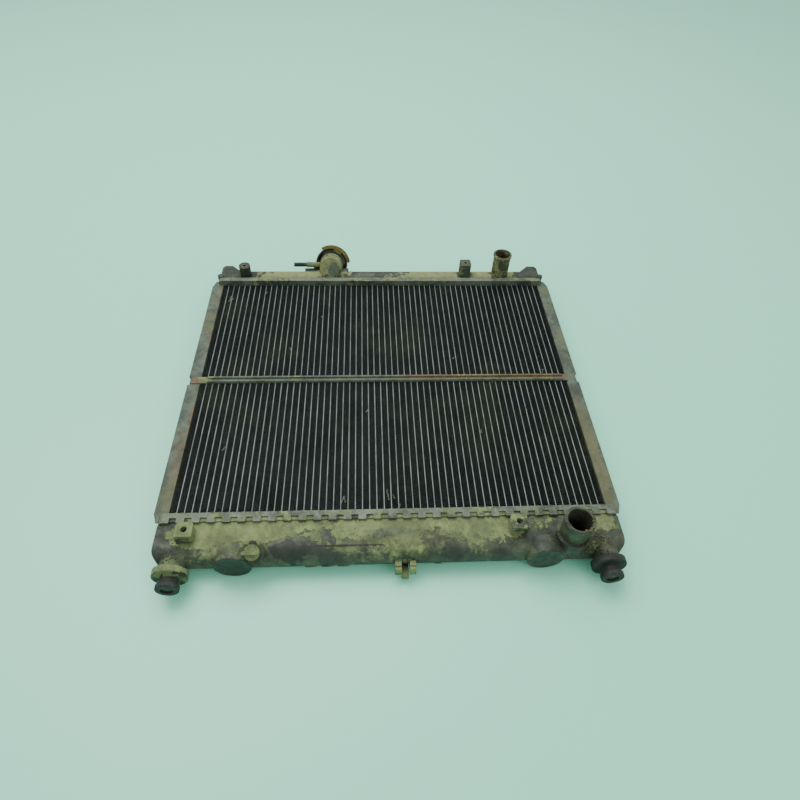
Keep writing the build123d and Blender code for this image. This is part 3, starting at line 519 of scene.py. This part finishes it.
MATERIALS = {
    "tank_plastic": weathered(
        "muddy_nylon", NYLON, NYLON_WORN, mud=(14.0, 0.22, 0.2), mud_patches=LOWER_MUD, stains=LOWER_STAINS,
        relief=0.7,
    ),
    "header_aluminium": weathered(
        "dull_header", ALUMINIUM, ALUMINIUM_DARK, (0.45, 0.7), 0.25, mud=(60.0, 0.30, 0.12), edge=0.0008
    ),
    # The tubes get painted light on their upward faces and painted shade on their flanks.
    "tube_aluminium": weathered(
        "tube_metal", TUBE_BRIGHT, TUBE_DULL, (0.35, 0.6), 0.3, relief=0.2, finish=tube_light_and_shade
    ),
    "side_steel": weathered(
        "grey_side_coat", GREY_COAT, GREY_COAT_DARK, (0.5, 0.8), 0.1, mud=(22.0, 0.20, 0.12),
        mud_patches=((262, -150, 14, 70, 0.5), (-262, -190, 12, 30, 0.4), (-262, 150, 12, 50, 0.2)),
        mud_colours=(SIDE_EARTH, SIDE_EARTH_PALE), rust=(26.0, 0.60), rust_where=rust_along_core,
    ),
    "strap_steel": weathered(
        "strap_coat", GREY_COAT, ALUMINIUM_DARK, (0.5, 0.8), 0.2, mud=(30.0, 0.2, 0.12),
        rust=(34.0, 0.62), rust_where=rust_on_right,
    ),
    "seal_rubber": weathered("seal_rubber", RUBBER, RUBBER_WORN, (0.6, 0.85), relief=0.2),
    "bush_rubber": weathered(
        "dusty_rubber", RUBBER, RUBBER_DUSTY, (0.6, 0.9), mud=(26.0, 0.08, 0.2), edge_amount=0.3,
        mud_patches=((-245.5, -282, 24, 5, 0.6),),
    ),
    "nipple_plastic": weathered(
        "nipple_nylon", NIPPLE_NYLON, NYLON_WORN, mud=(30.0, 0.1, 0.1),
        mud_patches=((-112, 262, 16, 30, 0.6),), stains=((-139, 262, 14, 30, 0.9, SOOT),),
        mud_colours=(MUD, MUD_TAN),
    ),
    "nut_steel": weathered("zinc_nut", ZINC, ZINC_DULL, (0.4, 0.7), 0.7),
    "insert_brass": weathered("dull_brass", INSERT_BRASS, INSERT_BRASS_DULL, (0.4, 0.7), 0.5),
    "drain_plastic": weathered("drain_nylon", NYLON_WORN, MUD, mud=(40.0, 0.4, 0.2)),
    "cap_steel": weathered(
        "yellow_zinc", CAP_YELLOW, CAP_YELLOW_DULL, (0.35, 0.65), 0.5, mud=(22.0, 0.28, 0.02),
        mud_colours=(MUD, MUD_TAN),
    ),
    "spring_steel": weathered("bright_steel", STEEL, STEEL_DULL, (0.25, 0.5), 0.9),
    "valve_brass": weathered("valve_brass", VALVE_BRASS, VALVE_BRASS_DULL, (0.3, 0.55), 0.9),
}
UPPER_TANK_FINISH = weathered(
    "muddy_nylon_upper", NYLON, NYLON_WORN, mud=(14.0, 0.12, 0.18), mud_patches=UPPER_MUD,
    stains=UPPER_STAINS, mud_colours=(MUD_PALE, MUD_TAN), relief=0.7,
)

# How deep the painted sheen on the foil reaches from the core's face, how deep its painted rim highlight goes, and
# how much dust dulls it.
FIN_SHEEN_DEPTH = 2.2 * MM
FIN_RIM_HIGHLIGHT_DEPTH = 0.5 * MM
FIN_DUST = 0.35


def make_fin_material():
    """Fin foil: a painted sheen near the face of the core and a painted highlight on the fins' front rims,
    near-black painted shade deeper in, with dust in places.
    """
    material, tree, shader = new_material("dark_fin_foil")
    patches = span(tree, noise(tree, 16.0, 8.0, 0.7), 0.40, 0.66)
    # Painted light and shade by depth: within a few millimetres of the core's face the foil gets a painted sheen,
    # broken up by noise; deeper in it keeps the near-black painted shade.
    depth = span(tree, axis_value(tree, "Z"), CORE_HIGH_Z - FIN_SHEEN_DEPTH, CORE_HIGH_Z - FIN_SINK)
    spots = span(tree, noise(tree, 700.0, 3.0, 0.6), 0.35, 0.7, 0.25, 1.0)
    worn = math_node(tree, "MULTIPLY", depth, spots)
    worn = math_node(tree, "MULTIPLY", worn, math_node(tree, "MULTIPLY_ADD", patches, 0.5, 0.5))
    colour = blend_colours(tree, worn, FIN_SHADE_BLACK, FIN_SHEEN)
    # Painted highlight on the fins' front rims, in the last half millimetre at the core's face.
    rim_highlight = span(tree, axis_value(tree, "Z"), CORE_HIGH_Z - FIN_RIM_HIGHLIGHT_DEPTH, CORE_HIGH_Z - 1.4 * FIN_SINK)
    colour = blend_colours(tree, math_node(tree, "MULTIPLY", rim_highlight, spots), colour, FIN_EDGE_HIGHLIGHT)
    dust = math_node(tree, "MULTIPLY", span(tree, noise(tree, 11.0, 6.0, 0.6), 0.5, 0.75), depth)
    colour = blend_colours(tree, math_node(tree, "MULTIPLY", dust, FIN_DUST), colour, MUD)
    wire(tree, colour, shader.inputs["Base Color"])
    shader.inputs["Metallic"].default_value = 0.3
    wire(tree, math_node(tree, "MULTIPLY_ADD", patches, 0.2, 0.38), shader.inputs["Roughness"])
    bump(tree, shader, noise(tree, 700.0, 4.0, 0.6), 0.3, 0.0004)
    return material


MATERIALS["fin_aluminium"] = make_fin_material()


def dress_nodes():
    """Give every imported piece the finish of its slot; the upper tank has mud of its own."""
    for part in frame["record"]["subparts"]:
        node = NODES[part["node"]]
        finish = MATERIALS[part["material_slot"]]
        if part["node"] == "upper_tank":
            finish = UPPER_TANK_FINISH
        if not node.material_slots:
            node.data.materials.append(finish)
        for holder in node.material_slots:
            holder.material = finish


dress_nodes()


# ---- fins -----------------------------------------------------------------------------------------
FIN_FOLD = 3.0 * MM
FIN_GAUGE = 0.22 * MM
FIN_CREST = 0.35 * MM
FIN_WANDER = 0.30 * MM
FIN_LEAN = 0.25
# Waves along a strip in radians to the metre, the small one's share, and how much calmer the foil is
# deep in the core.
WAVE_ALONG = 210
RIPPLE_ALONG = 733
RIPPLE_SHARE = 0.6
DEPTH_CALM = 0.7
MERGE_REACH = 0.02 * MM


def make_fin_strip():
    """One folded strip: a plane whose edge is extruded along the folds, arrayed, then thickened."""
    folds = int((FIN_END - FIN_START) / FIN_FOLD)
    half = (TUBE_PITCH - TUBE_THICK) / 2 - FIN_GAUGE / 2
    depth = CORE_HIGH_Z - CORE_LOW_Z - 2 * FIN_SINK
    choose_nothing()
    bpy.ops.mesh.primitive_plane_add(size=1.0, location=(0, 0, 0))
    strip = bpy.context.object
    bpy.ops.object.mode_set(mode="EDIT")
    bpy.ops.mesh.delete(type="ONLY_FACE")
    mesh = bmesh.from_edit_mesh(strip.data)
    doomed = [v for v in mesh.verts if v.co.y > 0]
    bmesh.ops.delete(mesh, geom=doomed, context="VERTS")
    mesh.verts.ensure_lookup_table()
    face = CORE_HIGH_Z - FIN_SINK
    for vertex in mesh.verts:
        vertex.co = Vector((-half, 0, face if vertex.co.x > 0 else face - depth))
        vertex.select = True
    for edge in mesh.edges:
        edge.select = True
    bmesh.update_edit_mesh(strip.data)
    slope = FIN_FOLD / 2 - FIN_CREST
    for across, along in ((0, FIN_CREST), (2 * half, slope), (0, FIN_CREST), (-2 * half, slope)):
        bpy.ops.mesh.extrude_region_move(TRANSFORM_OT_translate={"value": (across, along, 0)})
    bpy.ops.object.mode_set(mode="OBJECT")
    array = strip.modifiers.new("folds", "ARRAY")
    array.count = folds
    array.use_relative_offset = False
    array.use_constant_offset = True
    array.constant_offset_displace = (0, FIN_FOLD, 0)
    array.use_merge_vertices = True
    array.merge_threshold = MERGE_REACH
    thick = strip.modifiers.new("foil", "SOLIDIFY")
    thick.thickness = FIN_GAUGE
    thick.offset = 0
    apply_all(strip)
    return strip


def make_fin_bank(name, columns, strip, rng):
    """A bank of strips between the tubes, each with its own small unevenness."""
    copies = []
    for column in columns:
        piece = strip.copy()
        piece.data = strip.data.copy()
        bpy.context.collection.objects.link(piece)
        phase = rng.uniform(0, FULL_TURN)
        lean = rng.uniform(-FIN_LEAN, FIN_LEAN) * MM
        start = FIN_START + rng.uniform(0, 0.8) * FIN_FOLD * 0.5
        middle = (column + 0.5) * TUBE_PITCH
        for vertex in piece.data.vertices:
            y = vertex.co.y
            deep = (CORE_HIGH_Z - vertex.co.z) / (CORE_HIGH_Z - CORE_LOW_Z)
            ripple = RIPPLE_SHARE * math.sin(y * RIPPLE_ALONG + 2 * phase)
            wander = FIN_WANDER * (math.sin(y * WAVE_ALONG + phase) + ripple)
            vertex.co.y = start + y + wander * (1 - DEPTH_CALM * deep) + lean * (1 - deep)
            vertex.co.x += middle
        copies.append(piece)
    choose_nothing()
    for piece in copies:
        piece.select_set(True)
    bpy.context.view_layer.objects.active = copies[0]
    bpy.ops.object.join()
    bank = bpy.context.object
    settle(bank, name, MATERIALS["fin_aluminium"], "radiator")
    return bank


def make_fins():
    """The left and right halves of the finned core."""
    rng = random.Random(7)
    strip = make_fin_strip()
    half = (TUBE_COUNT + 1) // 2
    left = make_fin_bank("fin_bank_left", range(-half, 0), strip, rng)
    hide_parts("fins_left")
    right = make_fin_bank("fin_bank_right", range(0, half), strip, rng)
    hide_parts("fins_right")
    bpy.data.objects.remove(strip, do_unlink=True)


make_fins()

# ---- bent fins ------------------------------------------------------------------------------------
FOIL_GAUGE = 0.22 * MM
FOIL_DEPTH = 1.1 * MM
FOIL_TALL = 1.7 * MM
FOIL_STEP = 1.1
# Start X and Y from the core's middle, length along the tube and sideways push, all in millimetres.
BENT_FINS = (
    (-61.0, -203.0, 13.0, 1.4), (-56.0, -200.0, 8.0, -1.2), (-4.0, -198.0, 15.0, 1.6),
    (3.0, -196.0, 7.0, -1.4), (7.0, -210.0, 6.0, 1.2), (-246.0, 172.0, 12.0, 1.8),
    (-240.0, 176.0, 9.0, -1.5), (-190.0, 190.0, 5.0, 1.0), (60.0, -150.0, 5.0, 1.0),
    (122.0, -98.0, 6.0, -1.0), (172.0, 96.0, 9.0, 1.6), (150.0, -8.0, 6.0, 1.2),
    (-140.0, 60.0, 5.0, -1.0), (205.0, -168.0, 6.0, 1.3), (98.0, 40.0, 5.0, 1.0),
    (-98.0, 132.0, 5.0, 1.1), (-212.0, -120.0, 6.0, 1.2), (-30.0, -60.0, 5.0, 1.0),
    (190.0, -60.0, 8.0, -1.3), (226.0, 10.0, 6.0, 1.2),
)


def make_bent_fins():
    """Torn bits of fin foil, pushed over at the core's face, drawn as thin zig-zag ribbons."""
    rng = random.Random(21)
    material, tree, shader = new_material("torn_foil")
    tone = span(tree, noise(tree, 300.0, 4.0, 0.6), 0.35, 0.65)
    wire(tree, blend_colours(tree, tone, FOIL_DULL, FOIL_BARE), shader.inputs["Base Color"])
    shader.inputs["Roughness"].default_value = 0.45
    shader.inputs["Metallic"].default_value = 0.4
    pieces = []
    for x, y, length, push in BENT_FINS:
        choose_nothing()
        bpy.ops.mesh.primitive_plane_add(size=1.0, location=(0, 0, 0))
        ribbon = bpy.context.object
        bpy.ops.object.mode_set(mode="EDIT")
        mesh = bmesh.from_edit_mesh(ribbon.data)
        bmesh.ops.delete(mesh, geom=[v for v in mesh.verts if v.co.y > 0], context="VERTS")
        base = CORE_HIGH_Z - FOIL_DEPTH
        for vertex in mesh.verts:
            vertex.co = Vector((0, 0, base + (FOIL_TALL if vertex.co.x > 0 else 0)))
            vertex.select = True
        for edge in mesh.edges:
            edge.select = True
        bmesh.update_edit_mesh(ribbon.data)
        steps = max(4, int(length / FOIL_STEP))
        for index in range(steps):
            side = (-1) ** index * rng.uniform(1.2, 2.6) * MM
            along = length * MM / steps * rng.uniform(0.6, 1.4)
            move = (side + push * MM / steps, along, rng.uniform(-0.1, 0.1) * MM)
            bpy.ops.mesh.extrude_region_move(TRANSFORM_OT_translate={"value": move})
        bpy.ops.object.mode_set(mode="OBJECT")
        thick = ribbon.modifiers.new("foil", "SOLIDIFY")
        thick.thickness = FOIL_GAUGE
        thick.offset = 0
        apply_all(ribbon)
        ribbon.location = (x * MM, y * MM + CORE_MID_Y, 0)
        pieces.append(ribbon)
    choose_nothing()
    for ribbon in pieces:
        ribbon.select_set(True)
    bpy.context.view_layer.objects.active = pieces[0]
    bpy.ops.object.join()
    settle(bpy.context.object, "bent_fin_bits", material, "radiator")


# ---- crust ----------------------------------------------------------------------------------------
# Node, middle X and Y, spreads in X and Y, count, and least and greatest radius of the crumbs.
CRUMB_FIELDS = (
    ("lower_tank", 226.0, -262.0, 22.0, 13.0, 230, 0.7, 2.2),
    ("lower_tank", 186.0, -256.0, 12.0, 10.0, 50, 0.5, 1.4),
    ("lower_tank", -150.0, -262.0, 22.0, 8.0, 50, 0.4, 1.1),
    ("lower_tank", 30.0, -250.0, 120.0, 16.0, 150, 0.3, 0.8),
    ("lower_tank", -246.0, -262.0, 12.0, 12.0, 60, 0.5, 1.3),
    ("upper_tank", -85.0, 246.0, 34.0, 12.0, 70, 0.4, 1.2),
    ("upper_tank", 197.0, 240.0, 20.0, 9.0, 40, 0.4, 1.2),
    ("upper_tank", -244.0, 246.0, 16.0, 12.0, 40, 0.4, 1.2),
    ("strap_front", 120.0, 0.0, 120.0, 4.0, 90, 0.25, 0.6),
    ("lower_header", 0.0, -222.0, 240.0, 4.0, 120, 0.25, 0.6),
)
DROP_HEIGHT = 0.3
LUMP_FLATNESS = 0.7
STEEPEST_GROUND = 0.15


def make_crumbs():
    """Crumbs of dried earth: one lump, dropped at many sizes where the ground under it is not too steep."""
    rng = random.Random(5)
    choose_nothing()
    bpy.ops.mesh.primitive_ico_sphere_add(subdivisions=2, radius=1.0, location=(0, 0, 0))
    lump = bpy.context.object
    bpy.ops.object.mode_set(mode="EDIT")
    mesh = bmesh.from_edit_mesh(lump.data)
    for vertex in mesh.verts:
        vertex.co *= rng.uniform(0.72, 1.12)
        vertex.co.z *= LUMP_FLATNESS
    bmesh.update_edit_mesh(lump.data)
    bpy.ops.object.mode_set(mode="OBJECT")
    crumbs = []
    for node, x, y, spread_x, spread_y, count, small, large in CRUMB_FIELDS:
        ground = NODES[node]
        inverse = ground.matrix_world.inverted()
        for _ in range(count):
            sideways, along = rng.gauss(0, 0.5) * spread_x, rng.gauss(0, 0.5) * spread_y
            place = Vector(((x + sideways) * MM, (y + along) * MM, DROP_HEIGHT))
            place.y += CORE_MID_Y
            size = rng.uniform(small, large) ** 1.5 / large**0.5 * MM
            turn = [rng.uniform(0, FULL_TURN) for _ in range(3)]
            found, spot, normal, _ = ground.ray_cast(inverse @ place, Vector((0, 0, -1)))
            if not found or normal.z < STEEPEST_GROUND:
                continue
            crumb = lump.copy()
            crumb.data = lump.data.copy()
            bpy.context.collection.objects.link(crumb)
            crumb.location = ground.matrix_world @ spot
            crumb.rotation_euler = turn
            crumb.scale = (size, size, size)
            crumbs.append(crumb)
    choose_nothing()
    for crumb in crumbs:
        crumb.select_set(True)
    bpy.context.view_layer.objects.active = crumbs[0]
    bpy.ops.object.join()
    crumbs = bpy.context.object
    earth = weathered(
        "crumb_earth", CRUST, CRUMB_PALE, (0.8, 0.95), mud=(60.0, 0.15, 0.2), relief=0.5
    )
    settle(crumbs, "earth_crumbs", earth, "radiator")
    bpy.data.objects.remove(lump, do_unlink=True)


# ---- pressure spring ------------------------------------------------------------------------------
SPRING_SLICES = 40
SPRING_SIDES = 12
SPRING_TURNS = 5
SPRING_WIRE = 0.9 * MM


def make_pressure_spring():
    """The cap's coil spring, made as a fixed coil that rides with the cap; the real spring shortens as the
    pressure valve lifts.
    """
    joint = next(j for j in frame["joints"] if j["name"] == "cap_turn")
    axis = Vector(joint["axis"]).normalized()
    origin = Vector(joint["pos_m"])
    turn = Vector((0, 0, 1)).rotation_difference(axis)
    corners = [turn.inverted() @ (v.co - origin) for v in NODES["cap_spring"].data.vertices]
    low = min(c.z for c in corners) + SPRING_WIRE
    high = max(c.z for c in corners) - SPRING_WIRE
    radius = max(math.hypot(c.x, c.y) for c in corners) - SPRING_WIRE
    choose_nothing()
    bpy.ops.mesh.primitive_circle_add(
        vertices=SPRING_SIDES, radius=SPRING_WIRE, fill_type="NOTHING", location=(0, 0, 0)
    )
    coil = bpy.context.object
    bpy.ops.object.mode_set(mode="EDIT")
    mesh = bmesh.from_edit_mesh(coil.data)
    for vertex in mesh.verts:
        vertex.co = Vector((radius + vertex.co.x, 0, low + vertex.co.y))
    bmesh.update_edit_mesh(coil.data)
    bpy.ops.object.mode_set(mode="OBJECT")
    screw = coil.modifiers.new("turns", "SCREW")
    screw.iterations = SPRING_TURNS
    screw.steps = SPRING_SLICES
    screw.render_steps = SPRING_SLICES
    screw.screw_offset = (high - low) / SPRING_TURNS
    apply_all(coil)
    bpy.ops.object.mode_set(mode="EDIT")
    bpy.ops.mesh.select_mode(type="EDGE")
    bpy.ops.mesh.select_all(action="DESELECT")
    bpy.ops.mesh.select_non_manifold()
    bpy.ops.mesh.fill()
    bpy.ops.mesh.select_all(action="SELECT")
    bpy.ops.mesh.normals_make_consistent(inside=False)
    bpy.ops.object.mode_set(mode="OBJECT")
    coil.rotation_mode = "QUATERNION"
    coil.rotation_quaternion = turn
    coil.location = origin
    settle(coil, "pressure_spring_coil", MATERIALS["spring_steel"], "cap")
    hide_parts("cap_spring")
    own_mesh(coil)


make_bent_fins()
make_crumbs()
make_pressure_spring()

# ---- stage ----------------------------------------------------------------------------------------
FLOOR_SIDE = 12.0
FLOOR_DROP = 0.2 * MM
FLOOR_ROUGHNESS = 0.35
ROOM_STRENGTH = 0.74
# Name, place, size, power and colour of each light; all of them aim at the middle of the floor.
LIGHTS = (
    ("overhead", (-0.5, 0.9, 2.2), (2.4, 1.6), 56, (1.0, 1.0, 0.96)),
    ("fill", (1.4, -1.6, 1.6), (1.6, 1.6), 12, (0.95, 1.0, 1.0)),
)
# Angles in degrees, lens and sensor in millimetres, and place in millimetres from the core's middle.
CAMERA_YAW, CAMERA_PITCH, CAMERA_ROLL = 4.87632, 48.88591, 3.067508
CAMERA_LENS, CAMERA_SENSOR = 26.585, 36.0
CAMERA_PLACE = (-27.993, -572.533, 646.664)


def make_floor():
    """A plain pale floor, large enough to fill the view."""
    choose_nothing()
    bpy.ops.mesh.primitive_plane_add(size=FLOOR_SIDE, location=(0, 0, -FLOOR_DROP))
    floor = bpy.context.object
    floor.name = "floor"
    material, _, shader = new_material("pale_floor")
    shader.inputs["Base Color"].default_value = (*FLOOR, 1)
    shader.inputs["Roughness"].default_value = FLOOR_ROUGHNESS
    floor.data.materials.append(material)


def add_area_light(name, place, size, power, colour):
    """A soft rectangular light aimed at the middle of the floor."""
    data = bpy.data.lights.new(name, "AREA")
    data.shape = "RECTANGLE"
    data.size, data.size_y = size
    data.energy = power
    data.color = colour
    light = bpy.data.objects.new(name, data)
    bpy.context.collection.objects.link(light)
    light.location = place
    light.rotation_euler = (-Vector(place)).to_track_quat("-Z", "Y").to_euler()


def make_lights():
    """Soft overhead light, a weaker fill and a pale world."""
    for light in LIGHTS:
        add_area_light(*light)
    world = bpy.data.worlds.new("studio")
    world.use_nodes = True
    background = world.node_tree.nodes["Background"]
    background.inputs["Color"].default_value = (*ROOM_LIGHT, 1)
    background.inputs["Strength"].default_value = ROOM_STRENGTH
    bpy.context.scene.world = world


def make_camera():
    """The camera: a wide lens close above the lower tank."""
    yaw, pitch, roll = (math.radians(angle) for angle in (CAMERA_YAW, CAMERA_PITCH, CAMERA_ROLL))
    ahead = Vector((math.sin(yaw) * math.cos(pitch), math.cos(yaw) * math.cos(pitch), -math.sin(pitch)))
    level = Vector((math.cos(yaw), -math.sin(yaw), 0))
    upward = level.cross(ahead)
    right = level * math.cos(roll) + upward * math.sin(roll)
    top = -level * math.sin(roll) + upward * math.cos(roll)
    data = bpy.data.cameras.new("camera")
    data.sensor_width = CAMERA_SENSOR
    data.lens = CAMERA_LENS
    camera = bpy.data.objects.new("camera", data)
    bpy.context.collection.objects.link(camera)
    turn = Matrix((right, top, -ahead)).transposed().to_4x4()
    x, y, z = (value * MM for value in CAMERA_PLACE)
    place = Vector((x, y + CORE_MID_Y, z))
    camera.matrix_world = Matrix.Translation(place) @ turn
    bpy.context.scene.camera = camera


make_floor()
make_lights()
make_camera()
